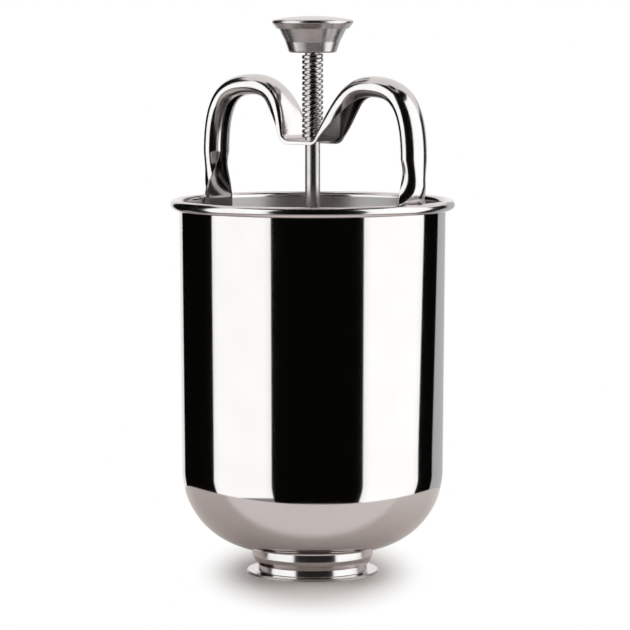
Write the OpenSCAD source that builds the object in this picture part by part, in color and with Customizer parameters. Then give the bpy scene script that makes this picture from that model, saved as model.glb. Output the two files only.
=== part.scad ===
// Doughnut batter dispenser: a pressed steel tub with a sprung plunger that opens a plug valve below it.
// Millimetres, +Z up. The origin is the middle of the face that the dispenser stands on, under the plunger.
// The handle lies in the XZ plane.

/* [Tub] */
// Outside diameter of the tub just below its rim
tub_top_d = 106.4; // [96:0.2:130]
// Outside diameter of the tub where the round of its bottom starts
tub_low_d = 104.8; // [92:0.2:126]
// Height of the tub, from the underside of its bottom to the middle of the rim bead
tub_h = 137.5; // [110:0.5:180]
// Outside radius of the round between the wall and the bottom
bowl_r = 32; // [20:0.5:38]
// Sheet thickness of the tub
tub_t = 0.6; // [0.4:0.1:1]
// Diameter of the curled rim bead
bead_d = 4.2; // [3:0.1:6]
// Width of the flat land round the outlet, beyond the neck
land_w = 1.6; // [1:0.1:4]

/* [Outlet neck] */
// Outside diameter of the neck's straight band
neck_d = 48; // [40:0.2:56]
// Outside diameter of the neck at its mouth
mouth_d = 45.2; // [34:0.2:50]
// Height of the neck
neck_h = 6.8; // [5:0.1:16]
// Height of the neck's straight band, measured down from the tub
neck_band_h = 2.8; // [1.5:0.1:4]
// Sheet thickness of the neck
neck_t = 0.6; // [0.4:0.1:1]
// Width of the soldering flange at the top of the neck
neck_flange_w = 0.7; // [0.4:0.1:1]
// Thickness of that flange
neck_flange_t = 0.5; // [0.3:0.1:1]

/* [Valve] */
// Sheet thickness of the valve cup
cup_t = 0.5; // [0.4:0.1:0.8]
// Diameter of the valve cup's flange
cup_flange_d = 52.4; // [50:0.2:60]
// Height of plug that shows between the flange and the closed neck
plug_show = 2.6; // [1:0.1:6]
// Height of plug inside the closed neck
plug_in = 3.6; // [2:0.1:8]
// Draft of the plug's wall in degrees
plug_draft = 5; // [2:0.5:8]
// Clearance between the plug and the mouth of the closed neck
seat_clear = 0.3; // [0.2:0.05:0.6]
// Outside radius of the plug's shoulder
plug_shoulder_r = 1.6; // [1:0.1:2.5]
// Slope of the plug's roof in degrees
roof_slope = 15; // [8:1:24]
// Diameter of the flat on the roof that the rod's shoulder stands on
roof_land_d = 11; // [9:0.5:16]
// Diameter of the base plate
base_d = 53.2; // [50:0.2:60]
// Thickness of the base plate
base_t = 0.5; // [0.4:0.1:1]

/* [Handle] */
// Width of the handle's strip at its saddle and feet
strip_w = 16.4; // [12:0.2:20]
// Sheet thickness of the strip
strip_t = 0.8; // [0.6:0.1:1.2]
// Distance between the strip's edges where it is rolled along the finger arches
arch_gap = 3.4; // [2.4:0.2:12]
// Depth of the rolled section along the finger arches
arch_depth = 10; // [6:0.1:11]
// Distance of the top of each arch from the plunger's axis
arch_x = 31.5; // [28:0.5:35]
// Height of the arches above the middle of the rim bead
arch_rise = 51.4; // [46:0.2:70]
// Distance that the rolled legs stand out beyond the tub's wall
leg_out = 4.1; // [3:0.1:5]
// Height of the saddle's top above the middle of the rim bead
saddle_rise = 25.8; // [22:0.2:28]
// Length of the flat saddle to the right and to the left of the plunger
saddle_right = 5.4; // [5.2:0.1:9]
saddle_left = 6.7; // [5.2:0.1:9]
// Inside radius of the bends beside the saddle
saddle_bend_r = 2.8; // [2:0.1:4]
// Angle of the bend on each side of the saddle in degrees
saddle_bend_right = 66; // [60:1:86]
saddle_bend_left = 84; // [60:1:86]
// Depth of the strip's turned-down edges at the saddle
edge_depth = 1.9; // [1.5:0.1:3]
// Outside radius of those edges
edge_r = 1.2; // [1:0.1:1.4]
// Length of the welded feet below the middle of the rim bead
foot_l = 22; // [12:1:40]
// Clearance between the feet and the tub's wall
foot_clear = 0.1; // [0.05:0.05:0.3]

/* [Plunger] */
// Diameter of the plunger rod
rod_d = 6; // [5:0.1:7]
// Diameter of the rod's threaded ends
thread_d = 5; // [4:0.1:5.5]
// Radial clearance of the rod in the saddle
rod_clear = 0.09; // [0.05:0.01:0.1]
// Radial clearance of washers, nuts and sheets on the threaded ends
thread_clear = 0.1; // [0.05:0.01:0.2]
// Distance across the flats of the nuts
nut_af = 8; // [7:0.1:10]
// Height of the nuts
nut_h = 4; // [2.5:0.1:5]
// Diameter of the washers
washer_d = 10; // [9:0.1:12]
// Thickness of the washers
washer_t = 1; // [0.5:0.1:1.5]
// Length of thread that stands past each nut
thread_past = 1; // [0.5:0.1:2]

/* [Spring] */
// Length of the spring between the saddle and the knob, with the valve closed
spring_l = 34.4; // [30:0.2:46]
// Diameter of the spring wire
wire_d = 1.2; // [0.8:0.05:1.3]
// Turns of the spring
spring_turns = 14; // [10:1:16]
// Radial clearance between the spring and the rod
spring_clear = 0.15; // [0.12:0.01:0.4]
// Clearance at each end of the spring
spring_end_clear = 0.1; // [0.05:0.05:0.2]

/* [Knob] */
// Sheet thickness of the knob's skirt
skirt_t = 0.6; // [0.4:0.1:0.8]
// Diameter of the knob's skirt at its foot
skirt_foot_d = 18.8; // [16:0.2:24]
// Diameter of the knob's skirt at its top
skirt_top_d = 27.2; // [24:0.2:32]
// Height of the knob's skirt
skirt_h = 10; // [8.5:0.1:16]
// Height of the plain band at the foot of the skirt
skirt_band_h = 0.6; // [0.3:0.1:1.5]
// Inward bow of the skirt's flare
skirt_bow = 1.2; // [0:0.1:2.4]
// Sheet thickness of the knob's cap
cap_t = 0.5; // [0.4:0.1:0.8]
// Largest diameter of the knob's cap
cap_d = 32.4; // [30:0.2:40]
// Diameter of the knob's cap at its curled lower edge
cap_edge_d = 28.8; // [28.4:0.2:31]
// Height of the cap's flared side
cap_side_h = 2.6; // [1.5:0.1:5]
// Radius of the cap's upper edge
cap_edge_r = 1; // [0.8:0.1:2]
// Rise of the cap's dome above its side
dome_rise = 2.4; // [1.5:0.1:5]

/* [Hidden] */

// Finishes
mirror_steel = [0.80, 0.80, 0.79];
satin_steel = [0.68, 0.68, 0.67];
spring_steel = [0.58, 0.58, 0.57];
plain_steel = [0.64, 0.65, 0.66];

// Segments of a full turn, of the bowl's round, of the bead and of the knob's curves
$fn = 128;
bowl_steps = 12;
bead_steps = 16;
knob_steps = 8;
shoulder_steps = 6;

// Heights, from the face that the dispenser stands on
cup_flange_z = base_t + cup_t;
mouth_z = cup_flange_z + plug_show;
tub_z = mouth_z + neck_h;
bead_z = tub_z + tub_h;
saddle_z = bead_z + saddle_rise;
arch_z = bead_z + arch_rise;
knob_z = saddle_z + spring_l;

// Tub
tub_top_r = tub_top_d / 2;
tub_low_r = tub_low_d / 2;
bead_r = bead_d / 2;
bead_x = tub_top_r - tub_t + bead_r;
bead_curl = 290;
neck_r = neck_d / 2;
outlet_r = neck_r - neck_t;
bowl_x = tub_low_r - bowl_r;
land_r = max(neck_r + neck_flange_w + land_w, bowl_x);
bowl_z = tub_z + sqrt(pow(bowl_r, 2) - pow(land_r - bowl_x, 2));
land_in_r = bowl_x + sqrt(max(0, pow(bowl_r - tub_t, 2) - pow(bowl_z - tub_z - tub_t, 2)));

// Inside radius of the tub's wall at height z
function wall_in_r(z) = tub_low_r - tub_t + (tub_top_r - tub_low_r) * (z - bowl_z) / (bead_z - bowl_z);

// Points of an arc about c, from angle a to angle b
function arc(c, r, a, b, steps) = [
  for (i = [0:steps]) let (t = a + (b - a) * i / steps) c + r * [cos(t), sin(t)]
];

// Points of a curve with three control points
function bow(p, q, r, steps) = [
  for (i = [0:steps]) let (t = i / steps) pow(1 - t, 2) * p + 2 * t * (1 - t) * q + pow(t, 2) * r
];

// Valve
mouth_r = mouth_d / 2;
plug_seat_r = mouth_r - neck_t - seat_clear;
plug_slope = tan(plug_draft);
plug_foot_r = plug_seat_r + plug_show * plug_slope;
plug_top_z = mouth_z + plug_in;
plug_top_r = plug_seat_r - plug_in * plug_slope;
shoulder = [plug_top_r - plug_shoulder_r * cos(plug_draft), plug_top_z - plug_shoulder_r * sin(plug_draft)];
roof_land_r = roof_land_d / 2;
roof_from = [cos(90 - roof_slope), sin(90 - roof_slope)];
roof_out = shoulder + plug_shoulder_r * roof_from;
roof_in = shoulder + (plug_shoulder_r - cup_t) * roof_from;
roof_z = roof_out[1] + (roof_out[0] - roof_land_r) * tan(roof_slope);
roof_land_in_r = roof_in[0] - (roof_z - cup_t - roof_in[1]) / tan(roof_slope);

// Threaded ends of the rod
thread_r = thread_d / 2;
thread_hole_r = thread_r + thread_clear;
valve_washer_z = roof_z - cup_t - washer_t;
valve_nut_z = valve_washer_z - nut_h;
rod_low_z = valve_nut_z - thread_past;
knob_washer_z = knob_z + skirt_t;
knob_nut_z = knob_washer_z + washer_t;
rod_top_z = knob_nut_z + nut_h + thread_past;

// Handle: the line of the strip's crown, from the saddle over an arch to a foot
strip_half = strip_w / 2;
arch_half_gap = arch_gap / 2;
arch_reach = 2 * atan(arch_depth / arch_half_gap);
arch_half = arch_half_gap / sin(arch_reach) * sin(min(90, arch_reach));
arch_round = min(5, arch_half);
saddle_steps = 2;
bend_steps = 5;
arch_steps = 12;
leg_steps = 14;
edge_steps = 4;
strip_steps = edge_steps + 2;
arch_pulls_right = [9, 17];
arch_pulls_left = [13.7, 15];
arch_shoulder_pull = 17;
arch_outer_pull = 23;
leg_top_rise = 19.5;
leg_low_rise = 1;
leg_top_z = bead_z + leg_top_rise;
leg_low_z = bead_z + leg_low_rise;
leg_bulge_h = 8.6;
leg_ease = 2.2;

// Crown and depth of a foot on the wall at height z
function foot_x(z) = wall_in_r(z) - foot_clear;
function foot_depth(z) = foot_x(z) - sqrt(pow(foot_x(z), 2) - pow(strip_half, 2));
leg_x = foot_x(bead_z) + leg_out;

// A curve with four control points, and its direction
function curve(p, t) =
  pow(1 - t, 3) * p[0] + 3 * pow(1 - t, 2) * t * p[1] + 3 * (1 - t) * pow(t, 2) * p[2] + pow(t, 3) * p[3];
function curve_way(p, t) =
  pow(1 - t, 2) * (p[1] - p[0]) + 2 * (1 - t) * t * (p[2] - p[1]) + pow(t, 2) * (p[3] - p[2]);

arch_top = [arch_x, arch_z];
outer_curve = [
  arch_top, arch_top + [arch_shoulder_pull, 0], [leg_x, leg_top_z + arch_outer_pull], [leg_x, leg_top_z]
];

// Crown, depth and half width of a leg at height z, where it flattens into its foot
function mix(a, b, t) = a + (b - a) * t;
function ease(t) = t * t * (3 - 2 * t);
function leg_share(z) = (z - leg_low_z) / (leg_top_z - leg_low_z);
function leg_crown(z) = mix(leg_x, foot_x(z), pow(1 - min(1, (z - leg_low_z) / leg_bulge_h), leg_ease));
function leg_edge(z) = mix(foot_x(z) - foot_depth(z), leg_x - arch_depth, leg_share(z));
function leg_half(z) = mix(strip_half, arch_half_gap, ease(leg_share(z)));

// Section of the strip: [half width, depth, corner radius] of its turned-down edges,
// [half gap, depth] of its rolled arc, and the share of the arc
function saddle_section() = [[strip_half, edge_depth, edge_r], [arch_half_gap, arch_depth], 0];
function arm_section(t) = [
  [
    mix(strip_half, arch_half, ease(t)), mix(edge_depth, arch_depth, sin(90 * t)),
    mix(edge_r, arch_round, sin(90 * t))
  ],
  [arch_half_gap, arch_depth], ease(t)
];
function rolled_section(half, depth) = [[half, depth, 0], [half, depth], 1];

// Stations of one half of the handle: [crown point, direction, section]
function half_stations(flat, angle, pulls) =
  let (
    bend_c = [flat, saddle_z + saddle_bend_r],
    bend_end = bend_c + saddle_bend_r * [sin(angle), -cos(angle)],
    inner_curve = [
      bend_end, bend_end + pulls[0] * [cos(angle), sin(angle)], arch_top - [pulls[1], 0], arch_top
    ]
  )
  concat(
    [for (i = [0:saddle_steps]) [[flat * i / saddle_steps, saddle_z], [1, 0], saddle_section()]],
    [
      for (i = [1:bend_steps])
        let (a = angle * i / bend_steps)
        [bend_c + saddle_bend_r * [sin(a), -cos(a)], [cos(a), sin(a)], saddle_section()]
    ],
    [
      for (i = [1:arch_steps])
        let (t = i / arch_steps)
        [curve(inner_curve, t), curve_way(inner_curve, t), arm_section(t)]
    ],
    [
      for (i = [1:arch_steps])
        let (t = i / arch_steps)
        [curve(outer_curve, t), curve_way(outer_curve, t), rolled_section(arch_half_gap, arch_depth)]
    ],
    [
      for (i = [1:leg_steps])
        let (z = mix(leg_top_z, leg_low_z, i / leg_steps))
        [[leg_crown(z), z], [0, -1], rolled_section(leg_half(z), leg_crown(z) - leg_edge(z))]
    ],
    [
      for (z = [bead_z, bead_z - foot_l])
        [[foot_x(z), z], [0, -1], rolled_section(strip_half, foot_depth(z))]
    ]
  );
right_stations = half_stations(saddle_right, saddle_bend_right, arch_pulls_right);
left_stations = half_stations(saddle_left, saddle_bend_left, arch_pulls_left);

// Point j of a section, counted from its crown to an edge: [distance across, depth, turn of the face in degrees]
function edge_point(e, j) =
  let (a = 90 * max(0, min(1, (j - 1) / edge_steps)), flat = e[0] - e[2])
  j == 0 ? [0, 0, 0] :
  j > edge_steps + 1 ? [e[0], e[1], 90] : [flat + e[2] * sin(a), e[2] * (1 - cos(a)), a];
function arc_point(e, j) =
  let (reach = 2 * atan(e[1] / e[0]), r = e[0] / sin(reach), a = reach * j / strip_steps)
  [r * sin(a), r * (1 - cos(a)), a];
function section_point(s, j) = s[2] * arc_point(s[1], j) + (1 - s[2]) * edge_point(s[0], j);

// One ring of the strip: its outer face from edge to edge, then its inner face back
function strip_ring(s, side) =
  let (way = s[1] / norm(s[1]), out = [-way[1], way[0]])
  [
    for (inside = [0, 1], i = [-strip_steps:strip_steps])
      let (
        j = inside == 0 ? i : -i,
        q = section_point(s[2], abs(j)),
        p = s[0] - (q[1] + inside * strip_t * cos(q[2])) * out
      )
      [side * p[0], sign(j) * (q[0] - inside * strip_t * sin(q[2])), p[1]]
  ];

// Triangles between the rings of a tube with n points in a ring, with its two end caps
function tube_faces(rings, n, caps) = concat(
  [
    for (i = [0:rings - 2], j = [0:n - 1], half = [0, 1])
      let (a = i * n + j, b = i * n + (j + 1) % n)
      half == 0 ? [a, b, b + n] : [a, b + n, a + n]
  ],
  [for (c = caps) [c[0], c[2], c[1]]],
  [for (c = caps) [for (k = c) k + (rings - 1) * n]]
);

// Triangles across a strip's end and across a wire's end
strip_n = 2 * (2 * strip_steps + 1);
strip_cap = [
  for (j = [0:2 * strip_steps - 1], half = [0, 1])
    let (a = j, b = j + 1, c = strip_n - 2 - j, d = strip_n - 1 - j)
    half == 0 ? [a, b, c] : [a, c, d]
];
wire_sides = 6;
wire_cap = [for (j = [1:wire_sides - 2]) [0, j, j + 1]];

// Spring: a helix whose two ends turn to stand square on the saddle and against the knob
wire_r = wire_d / 2;
rings_per_turn = 12;
coil_r = (rod_d / 2 + spring_clear + wire_r) / cos(180 / rings_per_turn);
spring_z = saddle_z + spring_end_clear;
spring_h = spring_l - 2 * spring_end_clear;
end_straight = wire_d;
end_bend_r = wire_d;
end_bend_steps = 3;
end_turn = end_bend_r / coil_r * 180 / PI;
coil_h = spring_h - 2 * (end_straight + end_bend_r);
coil_rings = spring_turns * rings_per_turn;

// One ring centre: [angle about the rod, height above the spring's foot, climb of the wire in degrees]
spring_end = concat(
  [[0, 0, 90]],
  [
    for (i = [0:end_bend_steps - 1])
      let (climb = 90 - 90 * i / end_bend_steps)
      [end_turn * (1 - sin(climb)), end_straight + end_bend_r * cos(climb), climb]
  ]
);
spring_line = concat(
  spring_end,
  [
    for (i = [0:coil_rings])
      [end_turn + 360 * i / rings_per_turn, end_straight + end_bend_r + coil_h * i / coil_rings, 0]
  ],
  [
    for (i = [len(spring_end) - 1:-1:0])
      let (e = spring_end[i])
      [360 * spring_turns + 2 * end_turn - e[0], spring_h - e[1], e[2]]
  ]
);
spring_centres = [for (s = spring_line) [coil_r * cos(s[0]), coil_r * sin(s[0]), spring_z + s[1]]];
spring_points = [
  for (i = [0:len(spring_line) - 1], j = [0:wire_sides - 1])
    let (
      s = spring_line[i],
      t = 360 * j / wire_sides,
      radial = [cos(s[0]), sin(s[0]), 0],
      along = [-sin(s[0]), cos(s[0]), 0],
      up = [0, 0, 1] * cos(s[2]) - along * sin(s[2])
    )
    spring_centres[i] + wire_r * (cos(t) * radial + sin(t) * up)
];

// Least gap of the wire to itself, between rings half a turn or more apart
spring_gap = min([
  for (i = [0:len(spring_centres) - 1])
    for (j = [i + rings_per_turn / 2:1:len(spring_centres) - 1])
      norm(spring_centres[i] - spring_centres[j]) - wire_d
]);
echo(spring_least_gap_to_itself = spring_gap);  // return_spring

// Knob
skirt_foot_r = skirt_foot_d / 2;
skirt_top_r = skirt_top_d / 2;
skirt_mid = [(skirt_foot_r + skirt_top_r) / 2 - skirt_bow, knob_z + (skirt_band_h + skirt_h) / 2];
skirt_low = [skirt_foot_r, knob_z + skirt_band_h];
skirt_high = [skirt_top_r, knob_z + skirt_h];
skirt_flare = bow(skirt_low, skirt_mid, skirt_high, knob_steps);
cap_r = cap_d / 2;
cap_edge_x = cap_edge_d / 2;
cap_lip_clear = 0.15;
cap_flare = (cap_r - cap_edge_x) / cap_side_h;
cap_in_x = cap_edge_x + cap_t * (cap_flare - norm([1, cap_flare]));
skirt_flange_r = cap_in_x - cap_lip_clear;
skirt_flange_z = knob_z + skirt_h;
cap_low_z = skirt_flange_z - cap_t;
cap_side_z = cap_low_z + cap_side_h;
cap_round = [cap_r - cap_edge_r, cap_side_z];
dome_edge_r = cap_round[0];
dome_edge_z = cap_side_z + cap_edge_r;
dome_h = dome_rise - cap_edge_r;
dome_r = (pow(dome_edge_r, 2) + pow(dome_h, 2)) / (2 * dome_h);
dome_c = [0, dome_edge_z + dome_h - dome_r];
dome_angle = asin(dome_edge_r / dome_r);

// Drawn tub with a curled rim and a round bottom
module vessel_body() {
  curl = [bead_x, bead_z];
  bowl = [bowl_x, bowl_z];
  out_from = -acos((land_r - bowl_x) / bowl_r);
  in_from = -acos((land_in_r - bowl_x) / (bowl_r - tub_t));
  color(mirror_steel)
    rotate_extrude()
      polygon(concat(
        [[outlet_r, tub_z]],
        arc(bowl, bowl_r, out_from, 0, bowl_steps),
        arc(curl, bead_r - tub_t, 180, 180 - bead_curl, bead_steps),
        arc(curl, bead_r, 180 - bead_curl, 180, bead_steps),
        arc(bowl, bowl_r - tub_t, 0, in_from, bowl_steps),
        [[outlet_r, tub_z + tub_t]]
      ));
}

// Collar soldered under the tub: a straight band above a cone that narrows to the mouth
module outlet_neck() {
  band_z = tub_z - neck_band_h;
  flange_z = tub_z - neck_flange_t;
  color(mirror_steel)
    rotate_extrude()
      polygon([
        [mouth_r - neck_t, mouth_z], [mouth_r, mouth_z], [neck_r, band_z], [neck_r, flange_z],
        [neck_r + neck_flange_w, flange_z], [neck_r + neck_flange_w, tub_z],
        [neck_r - neck_t, tub_z], [neck_r - neck_t, band_z]
      ]);
}

// Pressed strip bent into an M, with the rod's hole in its saddle
module handle() {
  last = len(left_stations) - 1;
  points = concat(
    [for (i = [last:-1:1]) each strip_ring(left_stations[i], -1)],
    [for (s = right_stations) each strip_ring(s, 1)]
  );
  color(mirror_steel)
    difference() {
      polyhedron(points, tube_faces(2 * last + 1, strip_n, strip_cap), convexity = 6);
      translate([0, 0, saddle_z - strip_half])
        cylinder(h = strip_w, r = rod_d / 2 + rod_clear);
    }
}

// Wire spring on the rod, between the saddle and the knob
module return_spring() {
  color(spring_steel)
    polyhedron(spring_points, tube_faces(len(spring_line), wire_sides, wire_cap), convexity = 10);
}

// Round rod with a threaded end in the knob and one in the valve
module plunger_rod() {
  color(satin_steel)
    rotate_extrude()
      polygon([
        [0, rod_low_z], [thread_r, rod_low_z], [thread_r, roof_z], [rod_d / 2, roof_z],
        [rod_d / 2, knob_z], [thread_r, knob_z], [thread_r, rod_top_z], [0, rod_top_z]
      ]);
}

// Flared lower pressing of the knob, with a flange that the cap is curled over
module knob_skirt() {
  inside = [for (i = [knob_steps:-1:0]) skirt_flare[i] - [skirt_t, 0]];
  color(mirror_steel)
    rotate_extrude()
      polygon(concat(
        [[thread_hole_r, knob_z], [skirt_foot_r, knob_z]],
        skirt_flare,
        [
          [skirt_flange_r, skirt_flange_z], [skirt_flange_r, skirt_flange_z + skirt_t],
          [skirt_top_r - skirt_t, skirt_flange_z + skirt_t]
        ],
        inside,
        [[skirt_foot_r - skirt_t, knob_z + skirt_t], [thread_hole_r, knob_z + skirt_t]]
      ));
}

// Domed upper pressing of the knob, curled under the skirt's flange
module knob_cap() {
  lip_r = skirt_top_r + cap_lip_clear;
  color(mirror_steel)
    rotate_extrude()
      polygon(concat(
        [[lip_r, cap_low_z], [cap_edge_x, cap_low_z]],
        arc(cap_round, cap_edge_r, 0, 90 - dome_angle, knob_steps),
        arc(dome_c, dome_r, 90 - dome_angle, 90, knob_steps),
        arc(dome_c, dome_r - cap_t, 90, 90 - dome_angle, knob_steps),
        arc(cap_round, cap_edge_r - cap_t, 90 - dome_angle, 0, knob_steps),
        [[cap_in_x, skirt_flange_z], [lip_r, skirt_flange_z]]
      ));
}

// Flanged plug that closes the neck
module valve_cup() {
  wall_in = cup_t / cos(plug_draft);
  color(mirror_steel)
    rotate_extrude()
      polygon(concat(
        [[plug_foot_r + cup_t * plug_slope - wall_in, base_t], [cup_flange_d / 2, base_t]],
        [[cup_flange_d / 2, cup_flange_z], [plug_foot_r, cup_flange_z]],
        arc(shoulder, plug_shoulder_r, plug_draft, 90 - roof_slope, shoulder_steps),
        [[roof_land_r, roof_z], [thread_hole_r, roof_z]],
        [[thread_hole_r, roof_z - cup_t], [roof_land_in_r, roof_z - cup_t]],
        arc(shoulder, plug_shoulder_r - cup_t, 90 - roof_slope, plug_draft, shoulder_steps)
      ));
}

// Flat disc that closes the valve cup from below
module valve_base_plate() {
  color(satin_steel)
    cylinder(h = base_t, d = base_d);
}

// Flat washer on a threaded end
module washer(z) {
  color(plain_steel)
    translate([0, 0, z])
      difference() {
        cylinder(h = washer_t, d = washer_d);
        translate([0, 0, -washer_t])
          cylinder(h = 3 * washer_t, r = thread_hole_r);
      }
}

// Hexagon nut on a threaded end
module nut(z) {
  color(plain_steel)
    translate([0, 0, z])
      difference() {
        cylinder(h = nut_h, r = nut_af / 2 / cos(30), $fn = 6);
        translate([0, 0, -nut_h])
          cylinder(h = 3 * nut_h, r = thread_hole_r);
      }
}

module knob_washer() {
  washer(knob_washer_z);
}

module knob_nut() {
  nut(knob_nut_z);
}

module valve_washer() {
  washer(valve_washer_z);
}

module valve_nut() {
  nut(valve_nut_z);
}

vessel_body();
outlet_neck();
handle();
return_spring();
plunger_rod();
knob_skirt();
knob_cap();
knob_washer();
knob_nut();
valve_cup();
valve_base_plate();
valve_washer();
valve_nut();
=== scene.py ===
import math

import bmesh
import bpy
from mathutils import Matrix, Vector


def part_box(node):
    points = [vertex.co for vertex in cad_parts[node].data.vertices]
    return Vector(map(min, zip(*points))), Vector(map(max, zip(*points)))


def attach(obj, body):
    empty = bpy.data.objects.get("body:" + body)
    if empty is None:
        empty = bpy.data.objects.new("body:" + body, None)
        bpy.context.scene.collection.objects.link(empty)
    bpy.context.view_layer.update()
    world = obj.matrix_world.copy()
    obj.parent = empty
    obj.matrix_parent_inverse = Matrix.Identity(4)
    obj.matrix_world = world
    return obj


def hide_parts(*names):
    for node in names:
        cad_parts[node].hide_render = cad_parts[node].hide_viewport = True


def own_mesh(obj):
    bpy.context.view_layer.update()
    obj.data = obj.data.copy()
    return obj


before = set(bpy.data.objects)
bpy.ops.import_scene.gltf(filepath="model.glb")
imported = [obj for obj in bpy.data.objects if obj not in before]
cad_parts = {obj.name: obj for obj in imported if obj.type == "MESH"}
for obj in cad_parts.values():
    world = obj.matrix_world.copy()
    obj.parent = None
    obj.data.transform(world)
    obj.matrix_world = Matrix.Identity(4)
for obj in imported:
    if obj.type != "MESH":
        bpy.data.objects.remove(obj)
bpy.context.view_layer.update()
mm = 0.001
print("frame loaded with", len(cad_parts), "nodes")


# colours are written as sRGB hex, shaders take linear values
def hexToLinear(text):
    channels = [int(text[i:i + 2], 16) / 255 for i in (1, 3, 5)]
    linear = [c / 12.92 if c <= 0.04045 else ((c + 0.055) / 1.055) ** 2.4 for c in channels]
    return linear + [1.0]


# adds one node with its settings, input values and links
def addNode(tree, kind, values=None, links=None, **settings):
    node = tree.nodes.new(kind)
    for name, value in settings.items():
        setattr(node, name, value)
    for name, value in (values or {}).items():
        node.inputs[name].default_value = value
    for name, output in (links or {}).items():
        tree.links.new(output, node.inputs[name])
    return node


def newMaterial(name):
    material = bpy.data.materials.new(name)
    material.use_nodes = True
    material.node_tree.nodes.clear()
    return material, material.node_tree


# steel finish: lines left by a tool along one direction, a slow wave of the sheet, and faint hand marks
# lines "round" run about the Z axis, lines "along" run up the piece
def steelMaterial(name, look):
    material, tree = newMaterial(name)
    place = addNode(tree, "ShaderNodeTexCoord").outputs["Object"]
    apart = addNode(tree, "ShaderNodeSeparateXYZ", links={0: place}).outputs
    fine = 1 / (look["lineMm"] * mm)
    slow = 1 / (look["lineLengthMm"] * mm)
    flat = addNode(tree, "ShaderNodeCombineXYZ", links={"X": apart["X"], "Y": apart["Y"]}).outputs[0]
    radius = addNode(tree, "ShaderNodeVectorMath", links={0: flat}, operation="LENGTH").outputs["Value"]
    way = addNode(tree, "ShaderNodeMath", links={0: apart["Z"], 1: radius}, operation="ADD").outputs[0]
    acrossScale, alongScale = (slow, fine) if look["lines"] == "round" else (fine, slow)
    lineX = addNode(tree, "ShaderNodeMath", {1: acrossScale}, {0: apart["X"]}, operation="MULTIPLY").outputs[0]
    lineY = addNode(tree, "ShaderNodeMath", {1: acrossScale}, {0: apart["Y"]}, operation="MULTIPLY").outputs[0]
    lineZ = addNode(tree, "ShaderNodeMath", {1: alongScale}, {0: way}, operation="MULTIPLY").outputs[0]
    lineAt = addNode(tree, "ShaderNodeCombineXYZ", links={"X": lineX, "Y": lineY, "Z": lineZ}).outputs[0]
    lines = addNode(tree, "ShaderNodeTexNoise", {"Scale": 1.0, "Detail": 3.0, "Roughness": 0.6},
                    {"Vector": lineAt}).outputs[0]
    marks = addNode(tree, "ShaderNodeTexNoise", {"Scale": 1 / (look["markMm"] * mm), "Detail": 4.0},
                    {"Vector": place}).outputs[0]
    wave = addNode(tree, "ShaderNodeTexNoise", {"Scale": 1 / (look["waveMm"] * mm), "Detail": 1.0},
                   {"Vector": place}).outputs[0]
    # roughness follows the lines and the hand marks
    rough, swing = look["roughness"], look["roughnessSwing"]
    both = addNode(tree, "ShaderNodeMath", links={0: lines, 1: marks}, operation="MULTIPLY").outputs[0]
    roughness = addNode(tree, "ShaderNodeMapRange",
                        {"From Min": 0.1, "From Max": 0.45, "To Min": rough - swing, "To Max": rough + swing},
                        {"Value": both}).outputs[0]
    # colour is a little darker where a mark dulls the steel
    tint = addNode(tree, "ShaderNodeMapRange", {"From Min": 0.3, "From Max": 0.7}, {"Value": marks}).outputs[0]
    colour = addNode(tree, "ShaderNodeMix",
                     {"A": hexToLinear(look["colour"]), "B": hexToLinear(look["markColour"])},
                     {"Factor": tint}, data_type="RGBA").outputs["Result"]
    waveBump = addNode(tree, "ShaderNodeBump", {"Strength": 1.0, "Distance": look["waveDepthMm"] * mm},
                       {"Height": wave}).outputs[0]
    lineBump = addNode(tree, "ShaderNodeBump", {"Strength": 1.0, "Distance": look["lineDepthMm"] * mm},
                       {"Height": lines, "Normal": waveBump}).outputs[0]
    tangent = addNode(tree, "ShaderNodeTangent", direction_type="RADIAL", axis="Z").outputs[0]
    shader = addNode(tree, "ShaderNodeBsdfPrincipled",
                     {"Metallic": 1.0, "Anisotropic": look["stretch"],
                      "Anisotropic Rotation": 0.25 if look["lines"] == "round" else 0.0},
                     {"Base Color": colour, "Roughness": roughness, "Normal": lineBump, "Tangent": tangent})
    addNode(tree, "ShaderNodeOutputMaterial", links={"Surface": shader.outputs[0]})
    return material


# mirror-polished stainless sheet: the studio shows in it sharply, with the last buffing just in sight
# buffing lines are near 0.05 mm apart on the real sheet, drawn coarser here so that they show
mirrorSteel = steelMaterial("polished stainless sheet", {
    "colour": "#d2cbc9", "markColour": "#cfc8c6", "roughness": 0.065, "roughnessSwing": 0.012, "stretch": 0.0,
    "lines": "round", "lineMm": 0.45, "lineLengthMm": 60, "lineDepthMm": 0.0003,
    "markMm": 14, "waveMm": 30, "waveDepthMm": 0.002,
})

# handle: the same sheet, polished by hand after its forming, so that the studio shows with soft edges
handSteel = steelMaterial("hand-polished stainless strip", {
    "colour": "#d6cfcd", "markColour": "#cec7c5", "roughness": 0.15, "roughnessSwing": 0.02, "stretch": 0.0,
    "lines": "along", "lineMm": 0.45, "lineLengthMm": 25, "lineDepthMm": 0.0006,
    "markMm": 10, "waveMm": 14, "waveDepthMm": 0.003,
})

# inner side of the handle: left as it was rolled, so it is duller than the polished side; its darker colour is
# painted shade on the inner and under faces
rolledShadedSteel = steelMaterial("as-rolled stainless strip with painted shade", {
    "colour": "#8f8987", "markColour": "#77716f", "roughness": 0.22, "roughnessSwing": 0.04, "stretch": 0.0,
    "lines": "along", "lineMm": 0.5, "lineLengthMm": 20, "lineDepthMm": 0.001,
    "markMm": 7, "waveMm": 10, "waveDepthMm": 0.002,
})

# knob: pressed caps with a soft polish, worn by the thumb
knobSteel = steelMaterial("soft-polished stainless sheet", {
    "colour": "#d4cdcb", "markColour": "#cac3c1", "roughness": 0.26, "roughnessSwing": 0.03, "stretch": 0.0,
    "lines": "round", "lineMm": 0.4, "lineLengthMm": 20, "lineDepthMm": 0.0004,
    "markMm": 6, "waveMm": 8, "waveDepthMm": 0.001,
})

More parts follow.
